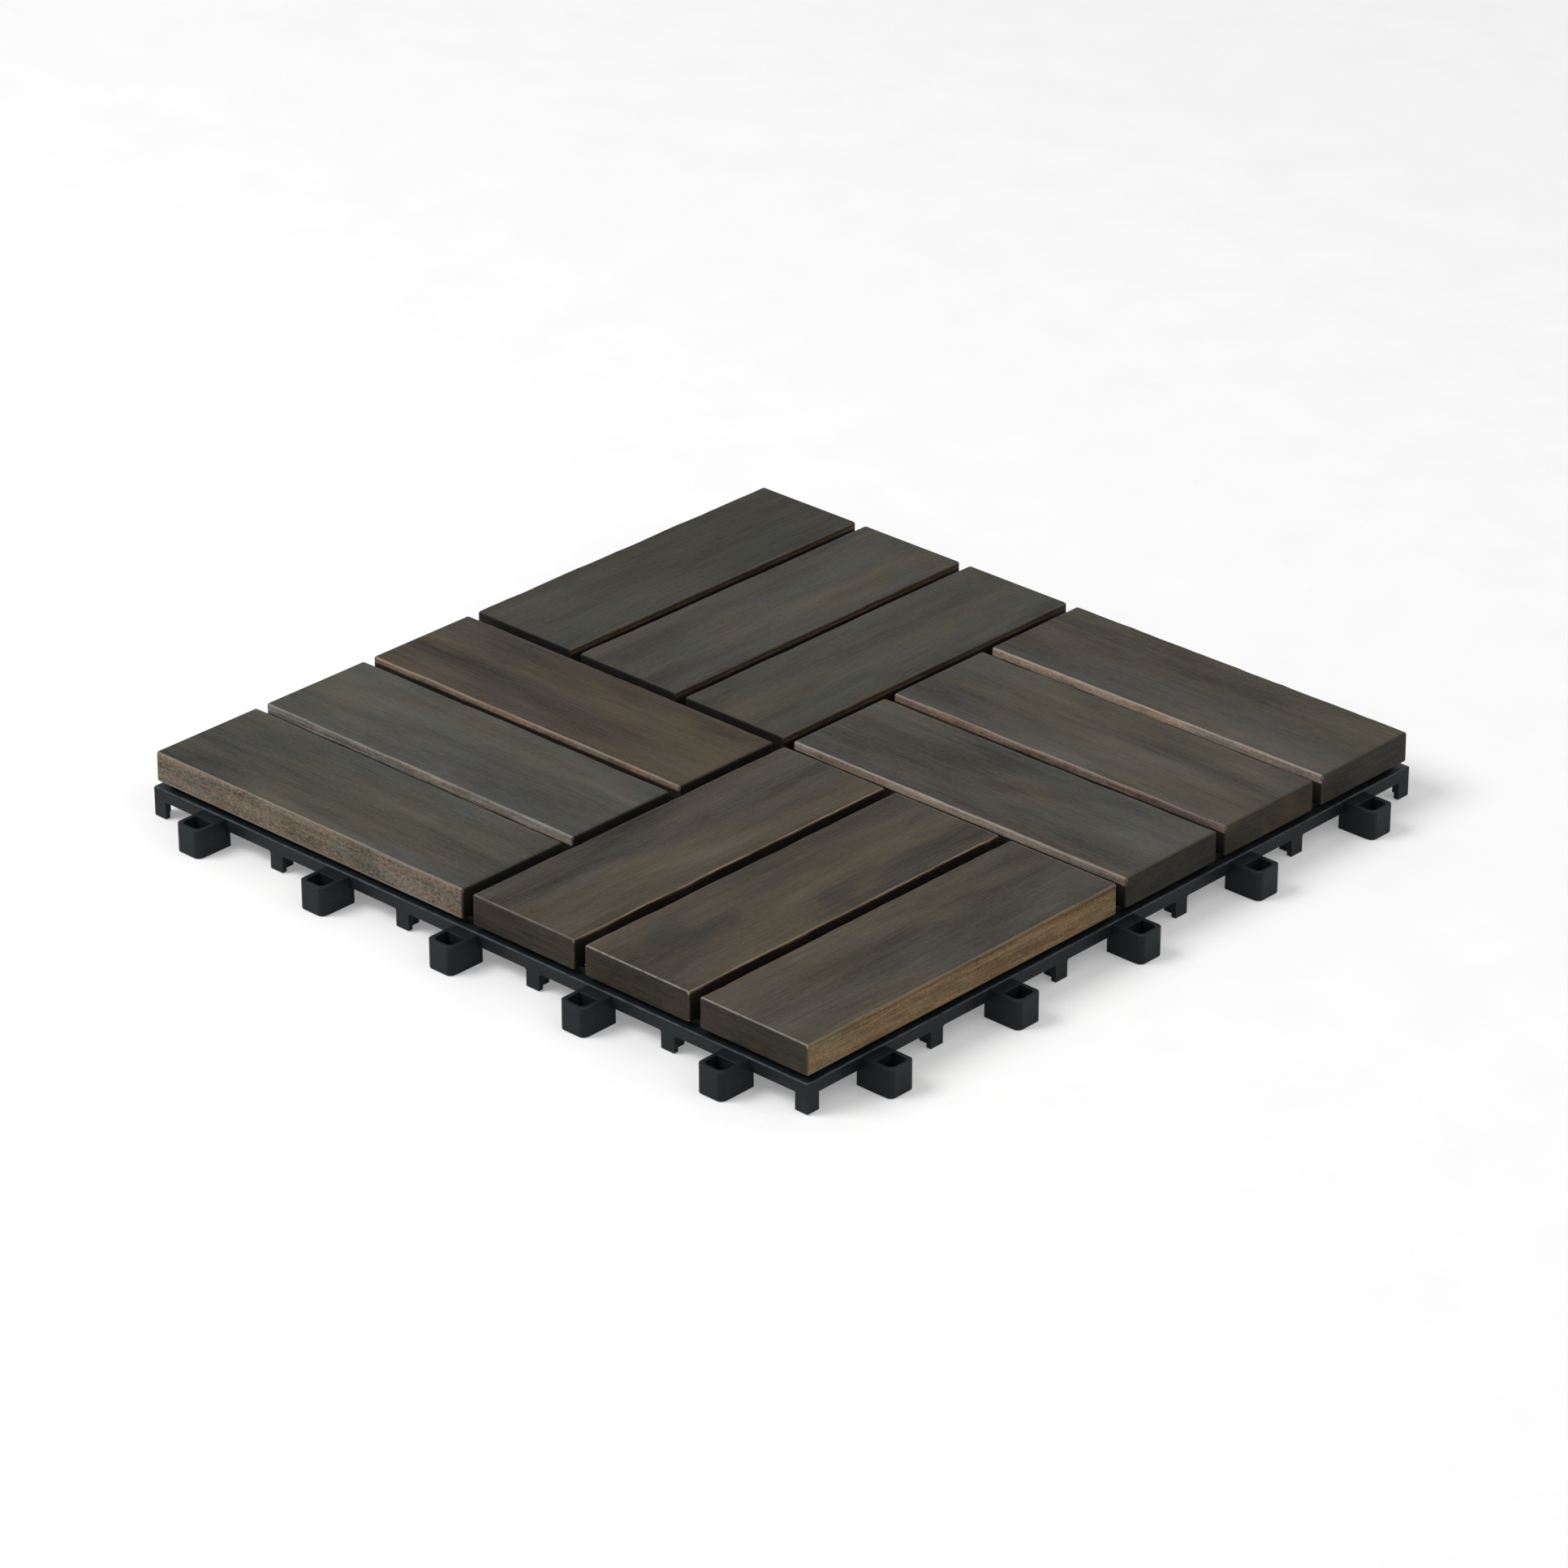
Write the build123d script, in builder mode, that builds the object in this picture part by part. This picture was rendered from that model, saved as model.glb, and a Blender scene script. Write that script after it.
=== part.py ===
from build123d import *
import os

# Interlocking deck tile: a basket weave of wooden slats, screwed from below to a moulded grid.
# Millimetres, +Z up, origin at the tile's centre on the plane of its feet.
# Loops stand out of the front (-Y) and right (+X) sides. Pegs hang in pockets along the
# other two sides, where they drop into the loops of the next tiles.

# Outline and heights of the moulded base
tile_side = 300.0           # side of the base, which is also the pitch of laid tiles
foot_drop = 6.3             # clear height under the rim and the ribs
rim_height = 4.7            # face of the rim's strip
seat_rise = 2.0             # height of the slats' seat above the rim's top

# Walls of the base
rim_wall = 2.0
ledge_width = 6.0           # from the rim's outer face to the inner face of the seat ring
ledge_thickness = 1.5
seat_wall = 2.0
rib_wall = 2.0
rib_bays = 10               # bays of the grid along one side

# Feet
foot_width = 5.8
corner_foot_leg = 5.4       # each leg of a corner foot, from the outer face
foot_ease = 0.5             # bevel between a foot and the strip above it

# Loops of the front and right sides
loop_reach = 12.7           # from the rim's outer face to the loop's nose
loop_width = 11.0
loop_height = 10.4
loop_wall = 1.5
loop_corner = 2.2           # outer radius of the loop's two free corners
loop_web = 2.0              # thickness of the flat web between rim and socket
socket_depth = 6.5          # clear size of the socket across the rim's direction
socket_corner = 2.0         # inner radius of the socket's two far corners

# Pegs and their pockets in the left and back sides
peg_clearance = 0.3         # between a peg and the socket around it
peg_lift = 1.0              # height of a peg's tip above the ground
peg_lead_in = 1.4           # height of the tapered tip
peg_taper = 20.0            # degrees, of the tip
pocket_clearance = 0.6      # between a loop and the pocket around it
pocket_wall = 1.6

# Slats
quarter_slats = 3           # slats in each quarter of the weave
slat_gap = 4.5
slat_setback = 0.75         # from the base's outer face in to the slats
slat_thickness = 11.0
slat_arris = 0.8            # bevel of the upper edges
slat_under_arris = 0.5      # bevel of the lower edges

# Screws, two to a slat
screw_ribs = (1, 4)         # ribs that take the screws, counted out from the centre
screw_head_diameter = 6.4
screw_head_height = 1.7
screw_shank_diameter = 3.0
screw_length = 12.2         # under the head
screw_recess = 0.4          # head below the boss's lower face
screw_hole_clearance = 0.25
head_clearance = 0.3
pilot_clearance = 0.05
boss_wall = 1.5
head_sides = 8              # sides of what is round at a screw's head: head, counterbore, boss
shank_sides = 6             # sides of the screws' round shanks and of their holes

# Heights worked out from the sizes above
rim_top = foot_drop + rim_height
seat_top = rim_top + seat_rise
half_side = tile_side / 2

# Places along a side
rib_pitch = tile_side / rib_bays
rib_lines = [rib_pitch * step for step in range(1 - rib_bays // 2, rib_bays // 2)]
connector_lines = rib_lines[::2]
foot_lines = rib_lines[1::2]
seat_face = half_side - ledge_width + seat_wall

# Fits
socket_width = loop_width - 2 * loop_wall
web_span = loop_reach - loop_wall - socket_depth
pocket_width = loop_width + 2 * pocket_clearance
pocket_depth = loop_reach + pocket_clearance
deck_side = tile_side - 2 * slat_setback
slat_length = (deck_side - slat_gap) / 2
slat_width = (slat_length - (quarter_slats - 1) * slat_gap) / quarter_slats
counterbore_radius = screw_head_diameter / 2 + head_clearance
screw_hole_radius = screw_shank_diameter / 2 + screw_hole_clearance
boss_radius = counterbore_radius + boss_wall
head_seat = foot_drop + screw_recess + screw_head_height
screw_tip = head_seat + screw_length

# Each quarter: name, sign of x, sign of y, and the turn that its slats have from the X axis
quarters = (
    ("left", -1, -1, 0),
    ("front", 1, -1, 90),
    ("right", 1, 1, 0),
    ("back", -1, 1, 90),
)
# Turns that bring what is drawn at the right side to the sides that have it
all_sides = (0, 90, 180, 270)
female_sides = (270, 0)     # front and right
male_sides = (90, 180)      # back and left


def side_places(turns, lines, distance):
    """Places along the turned sides, each facing outwards with its own X axis."""
    return [
        Location(Plane.XY.rotated((0, 0, turn)).location) * Location((distance, line, 0))
        for turn in turns
        for line in lines
    ]


def pocket_plan():
    """Outlines of all the pockets, cut from what the pockets replace."""
    with Locations(*side_places(male_sides, connector_lines, half_side)):
        Rectangle(pocket_depth + pocket_wall, pocket_width + 2 * pocket_wall,
                  align=(Align.MAX, Align.CENTER), mode=Mode.SUBTRACT)


def seat_grid():
    """Ribs, seat ring and screw bosses: everything that the slats lie on."""
    with BuildPart() as grid:
        with BuildSketch(Plane.XY.offset(foot_drop)):
            Rectangle(2 * seat_face, 2 * seat_face)
            Rectangle(2 * (seat_face - seat_wall), 2 * (seat_face - seat_wall), mode=Mode.SUBTRACT)
            with Locations(*[(0, line) for line in rib_lines]):
                Rectangle(2 * seat_face - seat_wall, rib_wall)
            with Locations(*[(line, 0) for line in rib_lines]):
                Rectangle(rib_wall, 2 * seat_face - seat_wall)
            pocket_plan()
            with Locations(*screw_points):
                RegularPolygon(boss_radius, head_sides)
                RegularPolygon(screw_hole_radius, shank_sides, mode=Mode.SUBTRACT)
        extrude(amount=seat_top - foot_drop)
        with BuildSketch(Plane.XY.offset(foot_drop)):
            with Locations(*screw_points):
                RegularPolygon(counterbore_radius, head_sides)
        extrude(amount=head_seat - foot_drop, mode=Mode.SUBTRACT)
    return grid.part


def rim():
    """The rim's strip, the ledge behind its top and the rib ends between rim and seat ring."""
    with BuildPart() as border:
        with BuildSketch(Plane.XY.offset(foot_drop)):
            Rectangle(tile_side, tile_side)
            Rectangle(tile_side - 2 * rim_wall, tile_side - 2 * rim_wall, mode=Mode.SUBTRACT)
            with Locations(*side_places(all_sides, rib_lines, half_side)):
                Rectangle(ledge_width - seat_wall, rib_wall, align=(Align.MAX, Align.CENTER))
            pocket_plan()
        extrude(amount=rim_height)
        with BuildSketch(Plane.XY.offset(rim_top - ledge_thickness)):
            Rectangle(tile_side, tile_side)
            Rectangle(2 * seat_face, 2 * seat_face, mode=Mode.SUBTRACT)
            pocket_plan()
        extrude(amount=ledge_thickness)
    return border.part


def nose_outline(depth, width, corner):
    """A rectangle that starts on the Y axis, with its two far corners rounded."""
    with BuildSketch() as outline:
        Rectangle(depth, width, align=(Align.MIN, Align.CENTER))
        fillet(outline.vertices().group_by(Axis.X)[-1], radius=corner)
    return outline.sketch


def rim_foot():
    """A post under the right side's rim, eased where it meets the strip, with a rib behind it."""
    with BuildPart() as foot:
        with BuildSketch(Plane.YZ.offset(-rim_wall / 2)) as face:
            Rectangle(foot_width, foot_drop, align=(Align.CENTER, Align.MIN))
            with Locations((0, foot_drop)):
                Rectangle(foot_width + 2 * foot_ease, ledge_thickness,
                          align=(Align.CENTER, Align.MIN))
            shoulder_line = face.vertices().group_by(Axis.Y)[1]
            shoulders = shoulder_line.sort_by(lambda corner: abs(corner.X))[:2]
            chamfer(shoulders, length=foot_ease)
        extrude(amount=rim_wall)
        with BuildSketch(Plane.XY):
            Rectangle(foot_width, rib_wall, align=(Align.MAX, Align.CENTER))
        extrude(amount=foot_drop)
    return foot.part


def corner_foot():
    """The L-shaped foot under the rim's corner at +X +Y, its outer edges on the sides."""
    with BuildPart() as foot:
        with BuildSketch(Plane.XY):
            with Locations((half_side, half_side)):
                Rectangle(corner_foot_leg, corner_foot_leg, align=(Align.MAX, Align.MAX))
            with Locations((half_side - rim_wall, half_side - rim_wall)):
                Rectangle(corner_foot_leg, corner_foot_leg, align=(Align.MAX, Align.MAX),
                          mode=Mode.SUBTRACT)
        extrude(amount=foot_drop)
    return foot.part


def grid_foot():
    """A cross-shaped foot under a crossing of two ribs."""
    with BuildPart() as foot:
        with BuildSketch(Plane.XY):
            Rectangle(foot_width, rib_wall)
            Rectangle(rib_wall, foot_width)
        extrude(amount=foot_drop)
    return foot.part


def loop():
    """A loop at the right side, with its rim face on the YZ plane and its socket cut through."""
    with BuildPart() as body:
        with BuildSketch(Plane.XY):
            add(nose_outline(loop_reach, loop_width, loop_corner))
        extrude(amount=loop_height)
        with BuildSketch(Plane.XY):
            Rectangle(rim_wall, loop_width, align=(Align.MAX, Align.CENTER))
        extrude(amount=rim_top - ledge_thickness)
        with BuildSketch(Plane.XY):
            with Locations((web_span, 0)):
                add(nose_outline(socket_depth, socket_width, socket_corner))
        extrude(amount=loop_height, mode=Mode.SUBTRACT)
        with BuildSketch(Plane.XY):
            with Locations((-rim_wall, 0)):
                Rectangle(rim_wall + web_span - loop_wall, socket_width,
                          align=(Align.MIN, Align.CENTER))
        extrude(amount=loop_height - loop_web, mode=Mode.SUBTRACT)
    return body.part


def pocket():
    """A pocket at the right side, open outwards and below, with the peg that hangs in it."""
    peg_depth = socket_depth - 2 * peg_clearance
    peg_width = socket_width - 2 * peg_clearance
    tip_height = peg_lift + peg_lead_in
    with BuildPart() as body:
        with BuildSketch(Plane.XY.offset(foot_drop)):
            Rectangle(pocket_depth + pocket_wall, pocket_width + 2 * pocket_wall,
                      align=(Align.MAX, Align.CENTER))
            Rectangle(pocket_depth, pocket_width, align=(Align.MAX, Align.CENTER),
                      mode=Mode.SUBTRACT)
        extrude(amount=rim_height)
        with BuildSketch(Plane.XY.offset(rim_top)):
            with Locations((seat_face - half_side, 0)):
                Rectangle(pocket_depth + pocket_wall + seat_face - half_side,
                          pocket_width + 2 * pocket_wall, align=(Align.MAX, Align.CENTER))
        extrude(amount=seat_rise)
        with BuildSketch(Plane.XY.offset(tip_height)) as section:
            with Locations((-web_span - peg_clearance, 0)):
                Rectangle(peg_depth, peg_width, align=(Align.MAX, Align.CENTER))
            chamfer(section.vertices().group_by(Axis.X)[0], length=socket_corner - peg_clearance)
        extrude(amount=rim_top - tip_height)
        extrude(body.faces().sort_by(Axis.Z)[0], amount=peg_lead_in, taper=peg_taper)
    return body.part


def quarter_rows():
    """Offsets of a quarter's slats across their length, outermost slat first."""
    pitch = slat_width + slat_gap
    return [(slat_gap + slat_width) / 2 + pitch * row for row in reversed(range(quarter_slats))]


def slat_centre(sign_x, sign_y, turn, row):
    """Centre of one slat: its row lies across the quarter, its length along it."""
    along = (slat_gap + slat_length) / 2
    if turn == 0:
        return (sign_x * along, sign_y * row)
    return (sign_x * row, sign_y * along)


def slat_screws(sign_x, sign_y, turn, row):
    """Screw points of one slat, where its centre line crosses the ribs that take screws."""
    if turn == 0:
        return [(sign_x * rib_pitch * rib, sign_y * row) for rib in screw_ribs]
    return [(sign_x * row, sign_y * rib_pitch * rib) for rib in screw_ribs]


def slat(sign_x, sign_y, turn, row):
    """One slat with eased edges, seated on the ribs, and its pilot holes from below."""
    size_x, size_y = (slat_length, slat_width) if turn == 0 else (slat_width, slat_length)
    with BuildPart() as board:
        with BuildSketch(Plane.XY.offset(seat_top)):
            with Locations(slat_centre(sign_x, sign_y, turn, row)):
                Rectangle(size_x, size_y)
        extrude(amount=slat_thickness)
        chamfer(board.faces().sort_by(Axis.Z)[-1].edges(), length=slat_arris)
        chamfer(board.faces().sort_by(Axis.Z)[0].edges(), length=slat_under_arris)
        with BuildSketch(Plane.XY.offset(seat_top)):
            with Locations(*slat_screws(sign_x, sign_y, turn, row)):
                RegularPolygon(screw_shank_diameter / 2 + pilot_clearance, shank_sides)
        extrude(amount=screw_tip - seat_top + pilot_clearance, mode=Mode.SUBTRACT)
    return board.part


def screw():
    """A pan-head wood screw, head down, with the underside of its head on the boss's seat."""
    with BuildPart() as fastener:
        with BuildSketch(Plane.XY.offset(head_seat - screw_head_height)):
            RegularPolygon(screw_head_diameter / 2, head_sides)
        extrude(amount=screw_head_height)
        with BuildSketch(Plane.XY.offset(head_seat)):
            RegularPolygon(screw_shank_diameter / 2, shank_sides)
        extrude(amount=screw_length)
    return fastener.part


def every_slat():
    """Name and place of each slat, quarter by quarter."""
    for name, sign_x, sign_y, turn in quarters:
        for number, row in enumerate(quarter_rows(), start=1):
            yield f"slat_{name}_{number}", (sign_x, sign_y, turn, row)


screw_points = [point for name, place in every_slat() for point in slat_screws(*place)]

with BuildPart() as feet:
    with Locations(*side_places(all_sides, foot_lines, half_side - rim_wall / 2)):
        add(rim_foot())
    with PolarLocations(0, 4):
        add(corner_foot())
    with Locations((0, 0), *[(x, y) for x in foot_lines for y in foot_lines]):
        add(grid_foot())

with BuildPart() as connectors:
    with Locations(*side_places(female_sides, connector_lines, half_side)):
        add(loop())
    with Locations(*side_places(male_sides, connector_lines, half_side)):
        add(pocket())

# The moulded base, one piece
with BuildPart() as base:
    add([seat_grid(), rim(), feet.part, connectors.part])
base.part.label = "base"

slats = []
for slat_name, slat_place in every_slat():
    board_part = slat(*slat_place)
    board_part.label = slat_name
    slats.append(board_part)

with BuildPart() as screws:
    with Locations(*screw_points):
        add(screw())
screws.part.label = "screws"

os.makedirs("parts", exist_ok=True)
export_step(base.part, "parts/base.step")
export_step(screws.part, "parts/screws.step")
for board_part in slats:
    export_step(board_part, f"parts/{board_part.label}.step")
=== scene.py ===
"""Dresses the interlocking deck tile: stained slats, moulded base and screws, in a pale studio."""

from __future__ import annotations

import logging
import math
from dataclasses import dataclass, replace
from enum import Enum
from typing import Iterable, Sequence, Union

import bmesh
import bpy
from mathutils import Matrix, Vector, noise


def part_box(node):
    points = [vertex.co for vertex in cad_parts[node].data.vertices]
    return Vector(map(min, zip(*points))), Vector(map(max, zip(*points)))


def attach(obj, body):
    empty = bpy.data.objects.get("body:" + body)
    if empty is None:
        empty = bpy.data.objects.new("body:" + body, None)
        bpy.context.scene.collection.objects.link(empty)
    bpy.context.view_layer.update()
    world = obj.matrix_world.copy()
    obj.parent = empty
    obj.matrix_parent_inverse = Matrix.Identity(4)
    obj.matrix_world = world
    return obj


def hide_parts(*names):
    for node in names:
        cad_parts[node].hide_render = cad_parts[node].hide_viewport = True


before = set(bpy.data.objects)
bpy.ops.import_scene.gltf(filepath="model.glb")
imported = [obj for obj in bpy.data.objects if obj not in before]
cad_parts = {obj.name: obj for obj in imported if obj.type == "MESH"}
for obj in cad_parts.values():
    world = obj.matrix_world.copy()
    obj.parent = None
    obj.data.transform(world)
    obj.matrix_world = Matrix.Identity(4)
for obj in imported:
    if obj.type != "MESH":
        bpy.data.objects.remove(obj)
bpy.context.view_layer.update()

logging.basicConfig(level=logging.INFO, format="%(message)s")
log = logging.getLogger("deck_tile")

MM = 0.001
HAIR = 0.001 * MM
ORIGIN = (0.0, 0.0, 0.0)
ONES = (1.0, 1.0, 1.0)
UP = (0.0, 0.0, 1.0)
WHITE = (1.0, 1.0, 1.0, 1.0)

Socket = bpy.types.NodeSocket
Feed = Union[Socket, float, Sequence[float]]
Triple = tuple[float, float, float]
Tone = Triple
Layer = Triple
Colour = tuple[float, float, float, float]
Pair = tuple[float, float]


def linear(tone: Tone, factors: Triple = ONES) -> Colour:
    """Turns a tone as seen on a screen into the colour that a shader takes.

    Args:
        tone: Red, green and blue from 0 to 255.
        factors: What the three are multiplied by first.

    Returns:
        The linear colour with full opacity.
    """

    def channel(value: float) -> float:
        """Linear value of one channel."""
        share = value / 255.0
        return share / 12.92 if share <= 0.04045 else ((share + 0.055) / 1.055) ** 2.4

    red, green, blue = (channel(value * factor) for value, factor in zip(tone, factors))
    return (red, green, blue, 1.0)


class Grain(Enum):
    """The axis that a slat's length follows."""

    ALONG_X = 0
    ALONG_Y = 1


@dataclass(frozen=True)
class Pattern:
    """A soft noise in a slat's own coordinates.

    Attributes:
        fine: Its fineness along, across and up the slat.
        place: Where in the noise the slat lies, along, across and up.
        detail: How many finer layers it holds.
        rough: Strength of the finer layers.
        twist: How much it is distorted.
        span: The two values that a fade over it runs between.
    """

    fine: Triple
    place: Triple = ORIGIN
    detail: float = 2.0
    rough: float = 0.5
    twist: float = 0.0
    span: Pair = (0.0, 1.0)


class Bench:
    """Lays out the nodes of one material."""

    def __init__(self, name: str) -> None:
        """Starts a material with its own shader.

        Args:
            name: Name of the material.
        """
        self.material = bpy.data.materials.new(name)
        self.material.use_nodes = True
        self.tree = self.material.node_tree
        self.shader = self.tree.nodes["Principled BSDF"]

    def feed(self, socket: Socket, value: Feed) -> None:
        """Links a socket, or sets its value.

        Args:
            socket: The input to feed.
            value: Another node's output, or a plain value.
        """
        if isinstance(value, Socket):
            self.tree.links.new(value, socket)
        else:
            socket.default_value = value

    def stored(self, name: str, output: str) -> Socket:
        """Reads what is stored on the mesh.

        Args:
            name: Name of the attribute.
            output: Vector for a vector, Fac for a number.

        Returns:
            The output.
        """
        node = self.tree.nodes.new("ShaderNodeAttribute")
        node.attribute_name = name
        return node.outputs[output]

    def place(self) -> Socket:
        """Object coordinates of the piece."""
        return self.tree.nodes.new("ShaderNodeTexCoord").outputs["Object"]

    def mapped(self, vector: Feed, scale: Triple = ONES, shift: Triple = ORIGIN) -> Socket:
        """Stretches and moves a pattern's coordinates.

        Args:
            vector: The coordinates.
            scale: Factor along each axis.
            shift: Offset along each axis, after the scale.

        Returns:
            The new coordinates.
        """
        node = self.tree.nodes.new("ShaderNodeMapping")
        self.feed(node.inputs["Vector"], vector)
        node.inputs["Scale"].default_value = scale
        node.inputs["Location"].default_value = shift
        return node.outputs["Vector"]

    def split(self, vector: Feed) -> tuple[Socket, ...]:
        """Splits a vector into its three numbers.

        Args:
            vector: The vector output.

        Returns:
            The three outputs.
        """
        node = self.tree.nodes.new("ShaderNodeSeparateXYZ")
        self.feed(node.inputs["Vector"], vector)
        return tuple(node.outputs)

    def noise(self, vector: Feed, scale: float, detail: float = 2.0, rough: float = 0.5,
              twist: float = 0.0) -> Socket:
        """Soft noise from 0 to 1.

        Args:
            vector: Where the noise is read.
            scale: Its fineness.
            detail: How many finer layers it holds.
            rough: Strength of the finer layers.
            twist: How much it is distorted.

        Returns:
            The noise's value.
        """
        node = self.tree.nodes.new("ShaderNodeTexNoise")
        self.feed(node.inputs["Vector"], vector)
        values = {"Scale": scale, "Detail": detail, "Roughness": rough, "Distortion": twist}
        for key, value in values.items():
            node.inputs[key].default_value = value
        return node.outputs["Fac"]

    def pattern(self, vector: Feed, kind: Pattern) -> Socket:
        """Soft noise of a given kind.

        Args:
            vector: The coordinates that it lies in.
            kind: Its fineness, place and character.

        Returns:
            The noise's value, from 0 to 1.
        """
        place = self.mapped(vector, kind.fine, kind.place)
        return self.noise(place, 1.0, kind.detail, kind.rough, kind.twist)

    def maths(self, operation: str, first: Feed, second: Feed = 0.0, third: Feed = 0.0) -> Socket:
        """One sum.

        Args:
            operation: Blender's name of the operation.
            first: The first number.
            second: The second number.
            third: The third number, where the operation takes one.

        Returns:
            The result.
        """
        node = self.tree.nodes.new("ShaderNodeMath")
        node.operation = operation
        for socket, value in zip(node.inputs, (first, second, third)):
            self.feed(socket, value)
        return node.outputs[0]

    def product(self, first: Feed, second: Feed) -> Socket:
        """Multiplies two numbers."""
        return self.maths("MULTIPLY", first, second)

    def fade(self, value: Feed, low: float, high: float, start: float = 0.0, end: float = 1.0) -> Socket:
        """Moves smoothly from one number to another as a value rises.

        Args:
            value: What is read.
            low: Where the fade starts.
            high: Where it ends.
            start: The result at the low end.
            end: The result at the high end.

        Returns:
            The faded number.
        """
        node = self.tree.nodes.new("ShaderNodeMapRange")
        node.interpolation_type = "SMOOTHSTEP"
        for socket, item in zip(node.inputs, (value, low, high, start, end)):
            self.feed(socket, item)
        return node.outputs[0]

    def share(self, vector: Feed, kind: Pattern, start: float = 0.0, end: float = 1.0) -> Socket:
        """Moves smoothly from one number to another over a pattern's span.

        Args:
            vector: The coordinates that the pattern lies in.
            kind: The pattern.
            start: The result at the low end of the span.
            end: The result at its high end.

        Returns:
            The faded number.
        """
        return self.fade(self.pattern(vector, kind), *kind.span, start, end)

    def blend(self, share: Feed, first: Feed, second: Feed, mode: str = "MIX") -> Socket:
        """Mixes two colours.

        Args:
            share: How much of the second shows.
            first: The first colour.
            second: The second colour.
            mode: Blender's name of the way of mixing.

        Returns:
            The mixed colour.
        """
        node = self.tree.nodes.new("ShaderNodeMix")
        node.data_type = "RGBA"
        node.blend_type = mode
        for index, value in ((0, share), (6, first), (7, second)):
            self.feed(node.inputs[index], value)
        return node.outputs[2]

    def times(self, colour: Feed, factor: Feed) -> Socket:
        """Multiplies a colour by another."""
        return self.blend(1.0, colour, factor, "MULTIPLY")

    def grey(self, value: Feed) -> Socket:
        """A grey as bright as a number.

        Args:
            value: The number.

        Returns:
            The grey's colour.
        """
        node = self.tree.nodes.new("ShaderNodeCombineColor")
        for socket in node.inputs:
            self.feed(socket, value)
        return node.outputs[0]

    def emboss(self, height: Feed, depth: float, strength: float) -> None:
        """Gives the shader a fine relief.

        Args:
            height: Height of the relief, from 0 to 1.
            depth: Its depth in metres.
            strength: Share of it that shows.
        """
        node = self.tree.nodes.new("ShaderNodeBump")
        node.inputs["Strength"].default_value = strength
        node.inputs["Distance"].default_value = depth
        self.feed(node.inputs["Height"], height)
        self.feed(self.shader.inputs["Normal"], node.outputs["Normal"])


class Figure:
    """The wood's patterns. A layer is a noise's fineness along and across, and its strength."""

    SEED_STEP: Triple = (211.0, 37.0, 13.0)
    LAYER_STEP: Pair = (5.0, 9.0)
    LAYER_TWIST: float = 0.4
    HUE_PLACE: Triple = (0.0, 90.0, 0.0)
    HUE_TURN: float = 1.25
    HUE_PULL: float = 0.5
    HUE_SOFTNESS: float = 0.12
    HUE: tuple[Layer, ...] = ((0.007, 0.035, 1.1), (0.02, 0.09, 0.6))
    CLOUDS: tuple[Layer, ...] = (
        (0.009, 0.045, 2.1), (0.033, 0.12, 0.7), (0.02, 0.45, 0.45), (0.08, 0.78, 0.5),
    )
    FIBRES: tuple[Layer, ...] = ((0.05, 1.4, 0.6), (0.5, 1.8, 0.85))
    SIDE_STREAKS: tuple[Pair, ...] = ((0.02, 0.3), (0.06, 1.1))
    SIDE_SPECKS: Pair = (0.7, 1.2)
    TINT: Pattern = Pattern((0.06, 0.2, 0.1), (8.0, 1.0, 0.0), twist=0.5, span=(0.4, 0.6))
    SPOT: Pattern = Pattern((0.02, 0.06, 0.05), (0.0, 4.0, 0.0), twist=1.0, span=(0.52, 0.7))
    RAW: Pattern = Pattern((0.03, 0.35, 0.35), (2.0, 6.0, 1.0), rough=0.55, twist=0.6, span=(0.32, 0.68))
    DRIP: Pattern = Pattern((0.035, 0.02, 0.05), (1.0, 7.0, 3.0), twist=0.6, span=(0.56, 0.7))
    DRIP_SHARE: float = 0.45
    SWAY: Pattern = Pattern((0.09, 0.0, 0.0), (6.0, 0.0, 0.0))
    WAVE: Pattern = Pattern((0.05, 0.0, 0.0))
    END_STREAK: Pattern = Pattern((0.02, 0.09, 0.75), detail=3.0, rough=0.6, twist=0.8, span=(0.32, 0.68))
    END_PATCH: Pattern = Pattern((0.02, 0.07, 0.12), (4.0, 0.0, 2.0), twist=0.8, span=(0.5, 0.72))
    PATCH_PULL: float = 0.2
    END_GRIT: Pattern = Pattern((0.2, 1.6, 1.6), detail=3.0, rough=0.65, span=(0.25, 0.7))
    GRIT_LEVELS: Pair = (0.86, 1.1)
    RUB: Pattern = Pattern((0.06, 0.3, 0.3), detail=3.0, rough=0.6, span=(0.3, 0.6))
    FIBRE: Pattern = Pattern((0.03, 0.9, 1.0), detail=3.0, rough=0.6, twist=0.4, span=(0.3, 0.7))
    PORE: Pattern = Pattern((0.3, 1.9, 2.4), detail=3.0, rough=0.6)


class Shade:
    """What a slat's tones are multiplied by for the shades beside them."""

    COOL: Triple = (0.97, 0.995, 1.035)
    WARM: Triple = (1.025, 1.01, 0.945)
    MOSSY: Colour = (0.98, 1.02, 1.0, 1.0)
    ROSY: Colour = (1.02, 0.975, 1.0, 1.0)
    BLOTCH: Triple = (0.78, 0.84, 0.92)
    RAW_COOL: Triple = (0.93, 0.98, 1.0)
    RAW_WARM: Triple = (1.07, 1.01, 0.96)
    DRIP: Triple = (0.68, 0.66, 0.6)
    FOOT_HIGHLIGHT: Triple = (0.95, 0.95, 0.95)
    END_DARK: Triple = (0.59, 0.60, 0.60)
    END_LIGHT: Triple = (0.83, 0.83, 0.81)
    END_WARM: Triple = (1.05, 0.94, 0.74)


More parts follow.
